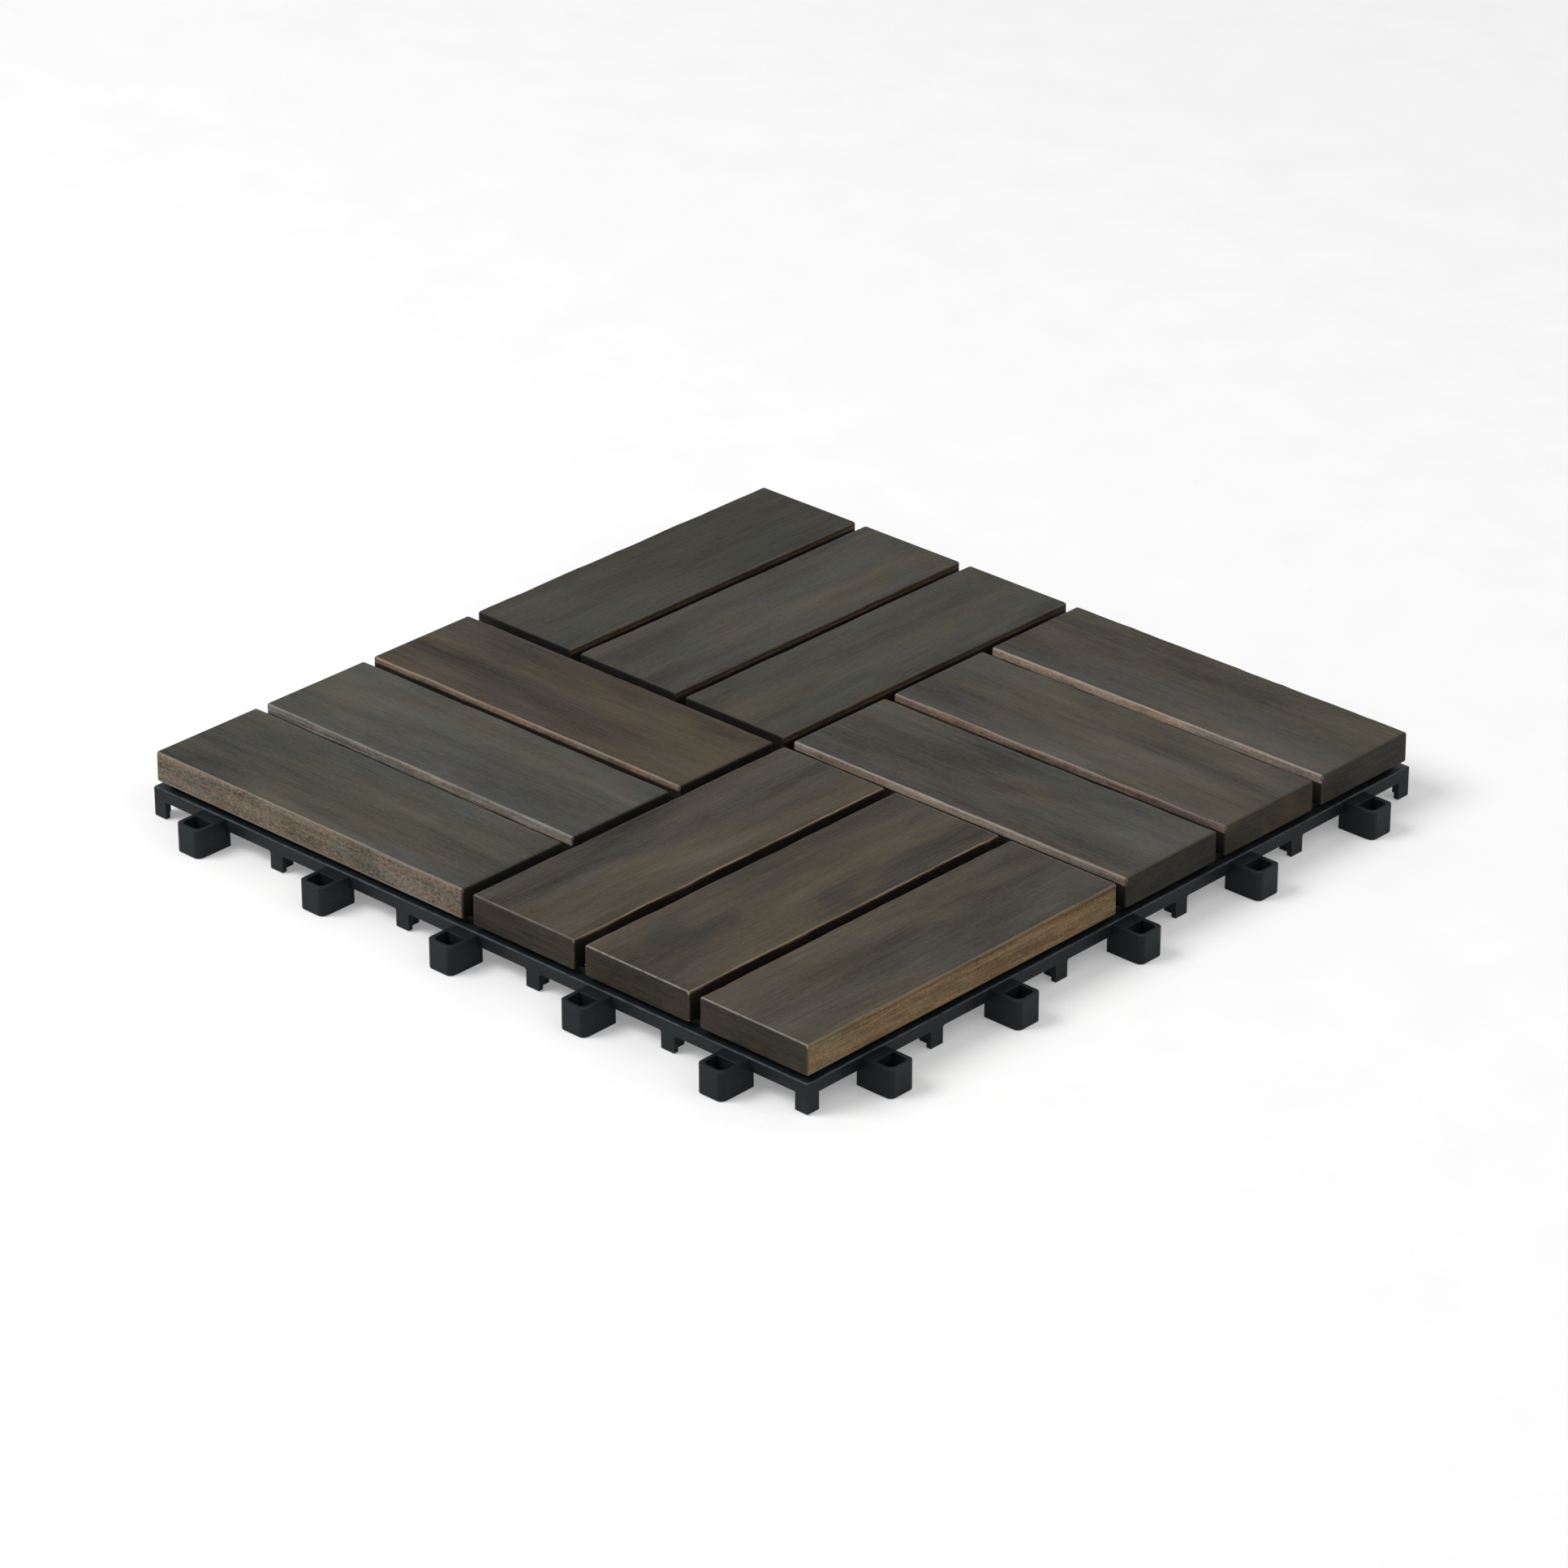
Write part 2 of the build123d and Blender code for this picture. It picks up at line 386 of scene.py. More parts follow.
@dataclass(frozen=True)
class Flank:
    """One long side of a slat: raw wood, with painted shade below a given depth where the side faces a gap.

    Attributes:
        raw: Tone of the wood.
        edge: Tone of its arris: wear and a painted highlight.
        depth: How far down the raw tone shows, in millimetres.
        rest: Tone below it: painted shade, the dark of the gap between slats; the thin top line takes it
            too.
        line: Strength of a thin dark line along the top.
        dim: Brightness at the slat's far end against its middle.
        streak: Strength of the fibres.
        speck: Strength of the specks.
    """

    raw: Tone
    edge: Tone
    depth: float = 2.1
    rest: Tone = (32.0, 28.0, 23.0)
    line: float = 0.0
    dim: float = 1.0
    streak: float = 1.5
    speck: float = 1.3


@dataclass(frozen=True)
class StainedWood:
    """Finish of one slat: a thin dark stain over mottled wood, paler sides with painted shade lower down,
    and arrises with wear and painted highlights.

    Lengths are in millimetres.

    Attributes:
        name: Name of the material.
        stain: Tone of the top.
        low: The long side at the lower coordinate.
        high: The other long side.
        end_wear_and_highlight: Tone of the arris at the ends: wear and a painted highlight.
        warmth: How much of the top is warm, from 0 to 1.
        mottle: Strength of the top's clouds.
        blotch: Strength of its dark blotches.
        end_warmth: Strength of the warm patches on the ends.
        seed: Number that gives the slat its own pattern.
        inner: 1 if the end at the higher coordinate is the hidden one, else -1.
        half: Half the length, width and thickness.
        arris: Width of the arris, and arris_end the part of it that is whole side already.
        arris_depths: Depths below the top between which the arris's wear and painted highlight set in, and
            corner its share below.
        foot_highlight_heights: Heights above the underside between which the painted highlight along the
            lower edge sets in.
    """

    name: str
    stain: Tone
    low: Flank
    high: Flank
    end_wear_and_highlight: Tone
    warmth: float = 0.5
    mottle: float = 1.0
    blotch: float = 0.0
    end_warmth: float = 0.3
    seed: float = 0.0
    inner: float = 1.0
    half: Triple = (73.5, 23.0, 5.5)
    arris: float = 0.9
    arris_end: float = 0.08
    arris_depths: Pair = (1.6, 1.0)
    corner: float = 0.15
    foot_highlight_heights: Pair = (1.1, 0.35)
    line_depth: float = 0.65
    line_sway: float = 1.2
    line_half: Pair = (0.1, 0.5)
    shade_sway: float = 0.8
    stain_edge: Pair = (-0.3, 0.35)
    middle: Pair = (-0.5, 0.5)
    dim_reach: Pair = (0.0, 65.0)
    shaded_end_reach: Pair = (-1.0, 1.0)
    shaded_end: Tone = (22.0, 22.0, 22.0)
    shaded_end_share: float = 0.8
    rubbed_and_highlit: Pair = (0.45, 0.95)
    end_rubbed_and_highlit: Pair = (0.5, 0.95)
    sheen: Pair = (0.66, 0.56)
    side_dullness: float = 0.14
    specular: float = 0.12
    pore_share: float = 0.4
    relief: float = 0.12 * MM
    relief_share: float = 0.6

    def masks(self, bench: Bench, grain: Feed) -> tuple[Socket, ...]:
        """Where the slat's long sides, ends and arrises are.

        Args:
            bench: The material in work.
            grain: Place along, across and up the slat, in millimetres from its centre.

        Returns:
            The share of long side, of end, and of long arris and end arris where wear and painted highlight
            show.
        """
        along, across, up = bench.split(grain)
        half_length, half_width, top = self.half
        deep, shallow = self.arris_depths
        upper = bench.fade(up, top - deep, top - shallow, self.corner, 1.0)
        shares, worn = [], []
        for value, half in ((across, half_width), (along, half_length)):
            distance = bench.maths("ABSOLUTE", value)
            share = bench.fade(distance, half - self.arris, half - self.arris_end)
            hump = bench.product(share, bench.maths("SUBTRACT", 1.0, share))
            shares.append(share)
            worn.append(bench.product(bench.product(hump, 4.0), upper))
        return (*shares, *worn)

    def layered(self, bench: Bench, own: Feed, layers: Sequence[Layer]) -> Socket:
        """Sums soft noises of several sizes into one level round 1.

        Args:
            bench: The material in work.
            own: The slat's own coordinates.
            layers: Fineness along and across, and strength, of each noise.

        Returns:
            The level.
        """
        total: Feed = 1.0 - sum(strength for _, _, strength in layers) / 2
        for number, (along, across, strength) in enumerate(layers):
            place = (Figure.LAYER_STEP[0] * number, Figure.LAYER_STEP[1] * number, 0.0)
            value = bench.pattern(own, Pattern((along, across, across), place, twist=Figure.LAYER_TWIST))
            total = bench.maths("MULTIPLY_ADD", value, strength, total)
        return total

    def top(self, bench: Bench, own: Feed) -> Socket:
        """The stained top: soft clouds, patches and short fibres, between a warm and a cool tone.

        Args:
            bench: The material in work.
            own: The slat's own coordinates.

        Returns:
            The colour.
        """
        hue = self.layered(bench, bench.mapped(own, shift=Figure.HUE_PLACE), Figure.HUE)
        turn = Figure.HUE_TURN - Figure.HUE_PULL * self.warmth
        warm = bench.fade(hue, turn - Figure.HUE_SOFTNESS, turn + Figure.HUE_SOFTNESS)
        stained = bench.blend(warm, linear(self.stain, Shade.COOL), linear(self.stain, Shade.WARM))
        stained = bench.blend(bench.share(own, Figure.TINT), bench.times(stained, Shade.MOSSY),
                              bench.times(stained, Shade.ROSY))
        if self.blotch:
            spot = bench.share(own, Figure.SPOT, 0.0, self.blotch)
            stained = bench.blend(spot, stained, linear(self.stain, Shade.BLOTCH))
        clouds = tuple((along, across, strength * self.mottle) for along, across, strength in Figure.CLOUDS)
        return bench.times(stained, bench.grey(self.layered(bench, own, clouds + Figure.FIBRES)))

    def flank(self, bench: Bench, own: Feed, grain: Feed, which: Flank) -> Socket:
        """One long side: raw wood with fibres and specks, a painted highlight along its lower edge, and
        painted shade below a given depth.

        Args:
            bench: The material in work.
            own: The slat's own coordinates.
            grain: Place along, across and up the slat, in millimetres from its centre.
            which: The side's finish.

        Returns:
            The colour.
        """
        raw = bench.blend(bench.share(own, Figure.RAW), linear(which.raw, Shade.RAW_COOL),
                          linear(which.raw, Shade.RAW_WARM))
        drip = bench.share(own, Figure.DRIP, 0.0, Figure.DRIP_SHARE)
        raw = bench.blend(drip, raw, linear(which.raw, Shade.DRIP))
        layers = [(along, across, which.streak) for along, across in Figure.SIDE_STREAKS]
        layers.append((*Figure.SIDE_SPECKS, which.speck))
        raw = bench.times(raw, bench.grey(self.layered(bench, own, layers)))
        depth = bench.maths("SUBTRACT", self.half[2], bench.split(grain)[2])
        # Painted highlight: a thin paler line along the side's lower edge.
        foot_start, foot_end = (2 * self.half[2] - height for height in self.foot_highlight_heights)
        raw = bench.blend(bench.fade(depth, foot_start, foot_end), raw, linear(which.edge, Shade.FOOT_HIGHLIGHT))
        if which.line:
            sway = bench.pattern(own, Figure.SWAY)
            middle = bench.maths("MULTIPLY_ADD", sway, self.line_sway, self.line_depth)
            stray = bench.maths("ABSOLUTE", bench.maths("SUBTRACT", depth, middle))
            raw = bench.blend(bench.fade(stray, *self.line_half, which.line, 0.0), raw, linear(which.rest))
        # Painted shade: below a wavy depth the side takes the rest tone, the dark of the gap between slats.
        wave, least = bench.pattern(own, Figure.WAVE), which.depth - self.shade_sway / 2
        limit = bench.maths("MULTIPLY_ADD", wave, self.shade_sway, least)
        below = bench.fade(bench.maths("SUBTRACT", depth, limit), *self.stain_edge)
        return bench.blend(below, raw, linear(which.rest))

    def end_grain(self, bench: Bench, own: Feed) -> Socket:
        """The sawn ends: darker, with soft streaks across and a few warmer patches.

        Args:
            bench: The material in work.
            own: The slat's own coordinates.

        Returns:
            The colour.
        """
        colour = bench.blend(bench.share(own, Figure.END_STREAK), linear(self.stain, Shade.END_DARK),
                             linear(self.stain, Shade.END_LIGHT))
        low, high = Figure.END_PATCH.span
        patch = bench.fade(bench.pattern(own, Figure.END_PATCH), low - Figure.PATCH_PULL * self.end_warmth,
                           high, 0.0, self.end_warmth)
        colour = bench.blend(patch, colour, linear(self.stain, Shade.END_WARM))
        return bench.times(colour, bench.grey(bench.share(own, Figure.END_GRIT, *Figure.GRIT_LEVELS)))

    def colour(self, bench: Bench, own: Feed, grain: Feed, masks: Sequence[Feed]) -> Socket:
        """Joins the colours of the top, the long sides, the ends, with painted shade on the inner end, and
        the arrises, with wear and painted highlights.

        Args:
            bench: The material in work.
            own: The slat's own coordinates.
            grain: Place along, across and up the slat, in millimetres from its centre.
            masks: The share of long side, of end, and of long arris and end arris where wear and painted
                highlight show.

        Returns:
            The colour.
        """
        side, end, arris, end_arris = masks
        along, across, _ = bench.split(grain)
        facing = bench.fade(across, *self.middle)
        dim = bench.grey(bench.fade(along, *self.dim_reach, 1.0, self.low.dim))
        flanks = bench.blend(facing, self.flank(bench, own, grain, self.low),
                             self.flank(bench, own, grain, self.high))
        colour = bench.blend(side, self.top(bench, own), bench.times(flanks, dim))

        # Painted shade: the inner end, inside the gap at the tile's centre, turns dark grey.
        inward = bench.product(along, self.inner)
        hidden = bench.fade(inward, *self.shaded_end_reach, 0.0, self.shaded_end_share)
        ends = bench.blend(hidden, self.end_grain(bench, own), linear(self.shaded_end))
        colour = bench.blend(end, colour, bench.times(ends, dim))

        # Arrises take a lighter tone where a noise lets it through: wear and a painted highlight.
        rub = bench.pattern(own, Figure.RUB)
        edge = bench.blend(facing, linear(self.low.edge), linear(self.high.edge))
        rubbed_and_highlit = bench.product(arris, bench.fade(rub, *Figure.RUB.span, *self.rubbed_and_highlit))
        colour = bench.blend(rubbed_and_highlit, colour, bench.times(edge, dim))
        end_rubbed_and_highlit = bench.product(end_arris, bench.fade(rub, *Figure.RUB.span, *self.end_rubbed_and_highlit))
        return bench.blend(end_rubbed_and_highlit, colour, linear(self.end_wear_and_highlight))

    def material(self) -> bpy.types.Material:
        """Builds the material.

        Returns:
            The material.
        """
        bench = Bench(self.name)
        grain = bench.stored("grain", "Vector")
        own = bench.mapped(grain, shift=tuple(step * self.seed for step in Figure.SEED_STEP))
        masks = self.masks(bench, grain)
        bench.feed(bench.shader.inputs["Base Color"], self.colour(bench, own, grain, masks))
        fibre = bench.pattern(own, Figure.FIBRE)
        sheen = bench.fade(fibre, *Figure.FIBRE.span, *self.sheen)
        rough = bench.maths("MULTIPLY_ADD", masks[0], self.side_dullness, sheen)
        bench.feed(bench.shader.inputs["Roughness"], rough)
        bench.shader.inputs["Specular IOR Level"].default_value = self.specular
        fibres = bench.product(fibre, 1.0 - self.pore_share)
        height = bench.maths("MULTIPLY_ADD", bench.pattern(own, Figure.PORE), self.pore_share, fibres)
        bench.emboss(height, self.relief, self.relief_share)
        return bench.material


@dataclass(frozen=True)
class MouldedPlastic:
    """Finish of the base: black satin plastic with a fine mould grain and paler edges, part wear and part
    painted highlight, palest along the rim's lip.
    """

    name: str = "black_moulded_plastic"
    body: Tone = (23.5, 27.8, 29.8)
    edge: Tone = (88.0, 97.0, 103.0)
    dark: Triple = (0.88, 0.88, 0.88)
    light: Triple = (1.12, 1.12, 1.12)
    dusty: Triple = (1.5, 1.5, 1.46)
    flow_scale: float = 42.0
    dust_scale: float = 190.0
    grain_scale: float = 2600.0
    dust_span: Pair = (0.52, 0.72)
    dust_share: float = 0.22
    rub_span: Pair = (0.3, 0.65)
    rub_shares: Pair = (0.25, 0.8)
    sheen: Pair = (0.4, 0.54)
    specular: float = 0.15
    relief: float = 0.03 * MM
    relief_share: float = 0.35

    def material(self) -> bpy.types.Material:
        """Builds the material.

        Returns:
            The material.
        """
        bench = Bench(self.name)
        place = bench.place()
        flow = bench.noise(place, self.flow_scale, 3.0, 0.6, 0.5)
        dust = bench.noise(place, self.dust_scale, 4.0, 0.65)
        colour = bench.blend(bench.fade(flow, 0.3, 0.7), linear(self.body, self.dark),
                             linear(self.body, self.light))
        dusted = bench.fade(dust, *self.dust_span, 0.0, self.dust_share)
        colour = bench.blend(dusted, colour, linear(self.body, self.dusty))
        # Edges and the rim's lip turn paler by the stored share: wear and a painted highlight.
        rub = bench.product(bench.stored("rub", "Fac"), bench.fade(dust, *self.rub_span, *self.rub_shares))
        colour = bench.blend(rub, colour, linear(self.edge))
        bench.feed(bench.shader.inputs["Base Color"], colour)
        bench.feed(bench.shader.inputs["Roughness"], bench.fade(dust, 0.3, 0.7, *self.sheen))
        bench.shader.inputs["Specular IOR Level"].default_value = self.specular
        bench.emboss(bench.noise(place, self.grain_scale, 3.0, 0.6), self.relief, self.relief_share)
        return bench.material


@dataclass(frozen=True)
class ZincSteel:
    """Finish of the screws: bright zinc on steel."""

    name: str = "bright_zinc"
    body: Tone = (205.0, 205.0, 200.0)
    dull: Triple = (0.8, 0.82, 0.86)
    cloud_scale: float = 700.0
    grain_scale: float = 3000.0
    sheen: Pair = (0.26, 0.42)
    relief: float = 0.02 * MM
    relief_share: float = 0.3

    def material(self) -> bpy.types.Material:
        """Builds the material.

        Returns:
            The material.
        """
        bench = Bench(self.name)
        place = bench.place()
        cloud = bench.noise(place, self.cloud_scale, 3.0, 0.6)
        colour = bench.blend(bench.fade(cloud, 0.35, 0.7), linear(self.body), linear(self.body, self.dull))
        bench.feed(bench.shader.inputs["Base Color"], colour)
        bench.feed(bench.shader.inputs["Roughness"], bench.fade(cloud, 0.3, 0.7, *self.sheen))
        bench.shader.inputs["Metallic"].default_value = 1.0
        bench.emboss(bench.noise(place, self.grain_scale), self.relief, self.relief_share)
        return bench.material


def kept_mesh(bm: bmesh.types.BMesh, name: str, material: bpy.types.Material, node: str) -> bpy.types.Object:
    """Turns a finished bmesh into a piece that stands for a CAD node.

    Its flat faces keep flat, and its rounded edges turn smoothly.

    Args:
        bm: The finished shape, in metres in the tile's frame. It is freed.
        name: Name of the piece.
        material: Its material.
        node: The CAD node that it stands for.

    Returns:
        The piece.
    """
    mesh = bpy.data.meshes.new(name)
    bm.to_mesh(mesh)
    bm.free()
    for face in mesh.polygons:
        face.use_smooth = True
    mesh.materials.append(material)
    piece = bpy.data.objects.new(name, mesh)
    bpy.context.scene.collection.objects.link(piece)
    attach(piece, "root")
    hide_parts(node)
    weighted = piece.modifiers.new("even_normals", "WEIGHTED_NORMAL")
    weighted.mode = "FACE_AREA"
    weighted.weight = 50
    weighted.keep_sharp = True
    return piece


def rounded(bm: bmesh.types.BMesh, edges: Sequence[bmesh.types.BMEdge], offset: float,
            segments: int) -> list[bmesh.types.BMFace]:
    """Rounds edges.

    Args:
        bm: The shape in work.
        edges: Its edges to round.
        offset: How far the rounding reaches from each edge, in metres.
        segments: Its number of steps.

    Returns:
        The faces made.
    """
    made = bmesh.ops.bevel(bm, geom=edges, offset=offset, offset_type="OFFSET", segments=segments,
                           profile=0.5, affect="EDGES", material=-1)
    return made["faces"]


def screw_places() -> list[tuple[float, float]]:
    """Where the screws stand, two under each slat.

    Returns:
        The places in the tile's frame, in metres.
    """
    rows, ribs = (25.25, 75.75, 126.25), (30.0, 120.0)
    places = []
    for row in rows:
        for rib in ribs:
            places += [(-rib, -row), (rib, row), (row, -rib), (-row, rib)]
    return [(x * MM, y * MM) for x, y in places]


@dataclass
class Slat:
    """One wooden slat of the weave. Lengths are in metres."""

    node: str
    grain: Grain
    finish: StainedWood
    arris: float = 0.9 * MM
    under_arris: float = 0.45 * MM
    stations: int = 36
    wear: float = 0.22 * MM
    wear_bias: float = 0.45
    wear_fineness: float = 55.0
    wear_step: float = 7.3
    wear_side: float = 3.0
    wear_drop: float = 0.7
    nick_fineness: float = 3.7
    nick_share: float = 0.5

    def board(self) -> tuple[bmesh.types.BMesh, Vector, Vector]:
        """Shapes the board with its rounded arrises.

        Returns:
            The board, its centre and its size.
        """
        low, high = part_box(self.node)
        size, centre = high - low, (low + high) / 2
        bm = bmesh.new()
        bmesh.ops.create_cube(bm, size=1.0)
        bmesh.ops.scale(bm, vec=size, verts=bm.verts)
        bmesh.ops.translate(bm, vec=centre, verts=bm.verts)
        upper = [edge for edge in bm.edges if max(corner.co.z for corner in edge.verts) > centre.z]
        rounded(bm, upper, self.arris, 3)
        lower = [edge for edge in bm.edges if max(corner.co.z for corner in edge.verts) < low.z + HAIR]
        rounded(bm, lower, self.under_arris, 2)
        return bm, centre, size

    def pull(self, along: float, across: float) -> float:
        """How far the arris is worn back at a place.

        Args:
            along: Place along the slat in metres.
            across: Place across it, whose sign tells the arris.

        Returns:
            The distance in metres.
        """
        side = math.copysign(self.wear_side, across)
        spot = Vector((along * self.wear_fineness, self.finish.seed * self.wear_step, side))
        nicks = self.nick_share * noise.noise(spot * self.nick_fineness)
        return self.wear * max(0.0, self.wear_bias + noise.noise(spot) + nicks)

    def worn(self, bm: bmesh.types.BMesh, centre: Vector, size: Vector) -> None:
        """Cuts the board across at even steps and wears its long upper arrises unevenly.

        Args:
            bm: The board.
            centre: Its centre.
            size: Its size.
        """
        axis, other = self.grain.value, 1 - self.grain.value
        reach = size[axis] / 2 - 2 * self.arris
        direction = Vector(ORIGIN)
        direction[axis] = 1.0
        for step in range(self.stations + 1):
            place = centre + direction * (-reach + 2 * reach * step / self.stations)
            bmesh.ops.bisect_plane(bm, geom=bm.verts[:] + bm.edges[:] + bm.faces[:], dist=0.1 * HAIR,
                                   plane_co=place, plane_no=direction)
        band = 1.01 * self.arris
        for corner in bm.verts:
            across = corner.co[other] - centre[other]
            on_arris = abs(across) > size[other] / 2 - band
            if on_arris and corner.co.z > centre.z + size.z / 2 - band:
                pull = self.pull(corner.co[axis], across)
                corner.co[other] -= math.copysign(pull, across)
                corner.co.z -= self.wear_drop * pull

    def build(self) -> bpy.types.Object:
        """Builds and dresses the slat.

        Returns:
            The piece.
        """
        bm, centre, size = self.board()
        self.worn(bm, centre, size)
        bmesh.ops.recalc_face_normals(bm, faces=bm.faces)
        layer = bm.verts.layers.float_vector.new("grain")
        axis = self.grain.value
        for corner in bm.verts:
            local = (corner.co - centre) / MM
            corner[layer] = (local[axis], local[1 - axis], local.z)
        return kept_mesh(bm, f"{self.node}_board", self.finish.material(), self.node)


class Weave:
    """The twelve slats, with the finish of each."""

    OUTER_BEIGE: Flank = Flank((106.0, 97.0, 85.0), (130.0, 123.0, 112.0), 20.0, streak=0.9, speck=2.3)
    OUTER_GOLD: Flank = Flank((122.0, 103.0, 76.0), (124.0, 109.0, 88.0), 20.0, line=0.4)
    # Sides that face the gaps: GREY, PALE, FADING, BROWN and RUSSET turn towards the key lamp and are
    # painted lighter, a painted highlight; LINED and TAN turn away from it and are painted dark, painted
    # shade.
    GREY: Flank = Flank((133.0, 128.0, 119.0), (133.0, 130.0, 122.0), 3.4)
    PALE: Flank = Flank((146.0, 133.0, 120.0), (155.0, 146.0, 136.0), 3.1)
    FADING: Flank = Flank((146.0, 133.0, 120.0), (155.0, 146.0, 136.0), 2.9, dim=0.76)
    BROWN: Flank = Flank((129.0, 111.0, 99.0), (141.0, 126.0, 116.0), 2.7, dim=0.74)
    RUSSET: Flank = Flank((127.0, 110.0, 95.0), (143.0, 127.0, 113.0))
    LINED: Flank = Flank((36.0, 28.0, 18.0), (148.0, 131.0, 106.0), 0.8, rest=(24.0, 20.0, 14.0))
    TAN: Flank = Flank((84.0, 74.0, 60.0), (92.0, 87.0, 77.0), 2.4, rest=(26.0, 22.0, 16.0), line=0.7)
    DARK: Flank = Flank((60.0, 50.0, 41.0), (86.0, 80.0, 70.0), 0.8, rest=(34.0, 29.0, 23.0))
    # End arris tones: BRIGHT_END and MILD_END are painted highlights on the front slats' ends, which face
    # the key lamp; DULL_END lightens the other ends a little.
    BRIGHT_END: Tone = (142.0, 139.0, 131.0)
    MILD_END: Tone = (112.0, 109.0, 102.0)
    DULL_END: Tone = (70.0, 67.0, 60.0)
    QUARTERS: dict[str, tuple[Grain, float]] = {
        "left": (Grain.ALONG_X, 1.0), "front": (Grain.ALONG_Y, 1.0),
        "right": (Grain.ALONG_X, -1.0), "back": (Grain.ALONG_Y, -1.0),
    }

    def finishes(self) -> tuple[StainedWood, ...]:
        """Lists the slats' finishes, by quarter and number.

        Returns:
            The finishes, the outermost of each quarter first.
        """
        dark, lined, tan = self.DARK, self.LINED, self.TAN
        bright, mild, dull = self.BRIGHT_END, self.MILD_END, self.DULL_END
        return (
            StainedWood("left_1", (68.0, 66.5, 59.5), self.OUTER_BEIGE, dark, dull, mottle=0.9),
            StainedWood("left_2", (64.0, 62.5, 56.5), self.GREY, dark, dull, 0.45, 0.9),
            StainedWood("left_3", (64.0, 56.5, 45.5), self.RUSSET, dark, dull, 0.65, 1.1, 0.3),
            StainedWood("front_1", (66.5, 61.5, 52.5), dark, self.OUTER_GOLD, bright, 0.55),
            StainedWood("front_2", (63.5, 57.5, 48.0), dark, lined, bright, 0.5, 1.1, 0.7),
            StainedWood("front_3", (66.0, 60.0, 51.0), dark, lined, mild, 0.55, 1.1, 0.3),
            StainedWood("right_1", (66.5, 63.0, 56.0), self.PALE, dark, dull, 0.5, 0.9, end_warmth=0.2),
            StainedWood("right_2", (68.5, 65.0, 57.5), self.BROWN, dark, dull, 0.5, 0.9, 0.3, 1.0),
            StainedWood("right_3", (67.5, 65.0, 58.0), self.FADING, dark, dull, end_warmth=0.1),
            StainedWood("back_1", (53.0, 51.5, 44.0), dark, tan, dull, 0.4, 0.8),
            StainedWood("back_2", (61.0, 59.0, 52.5), dark, tan, dull, 0.5, 0.8),
            StainedWood("back_3", (56.0, 54.0, 46.5), dark, tan, dull),
        )

    def slats(self) -> Iterable[Slat]:
        """The slats, quarter by quarter.

        Returns:
            The slats to build, each with a pattern of its own.
        """
        for seed, finish in enumerate(self.finishes(), start=1):
            grain, inner = self.QUARTERS[finish.name.split("_")[0]]
            own = replace(finish, name=f"stained_{finish.name}", seed=float(seed), inner=inner)
            yield Slat(f"slat_{finish.name}", grain, own)

    def build(self) -> None:
        """Builds every slat."""
        for slat in self.slats():
            piece = slat.build()
            log.info("%s: %d faces", piece.name, len(piece.data.polygons))


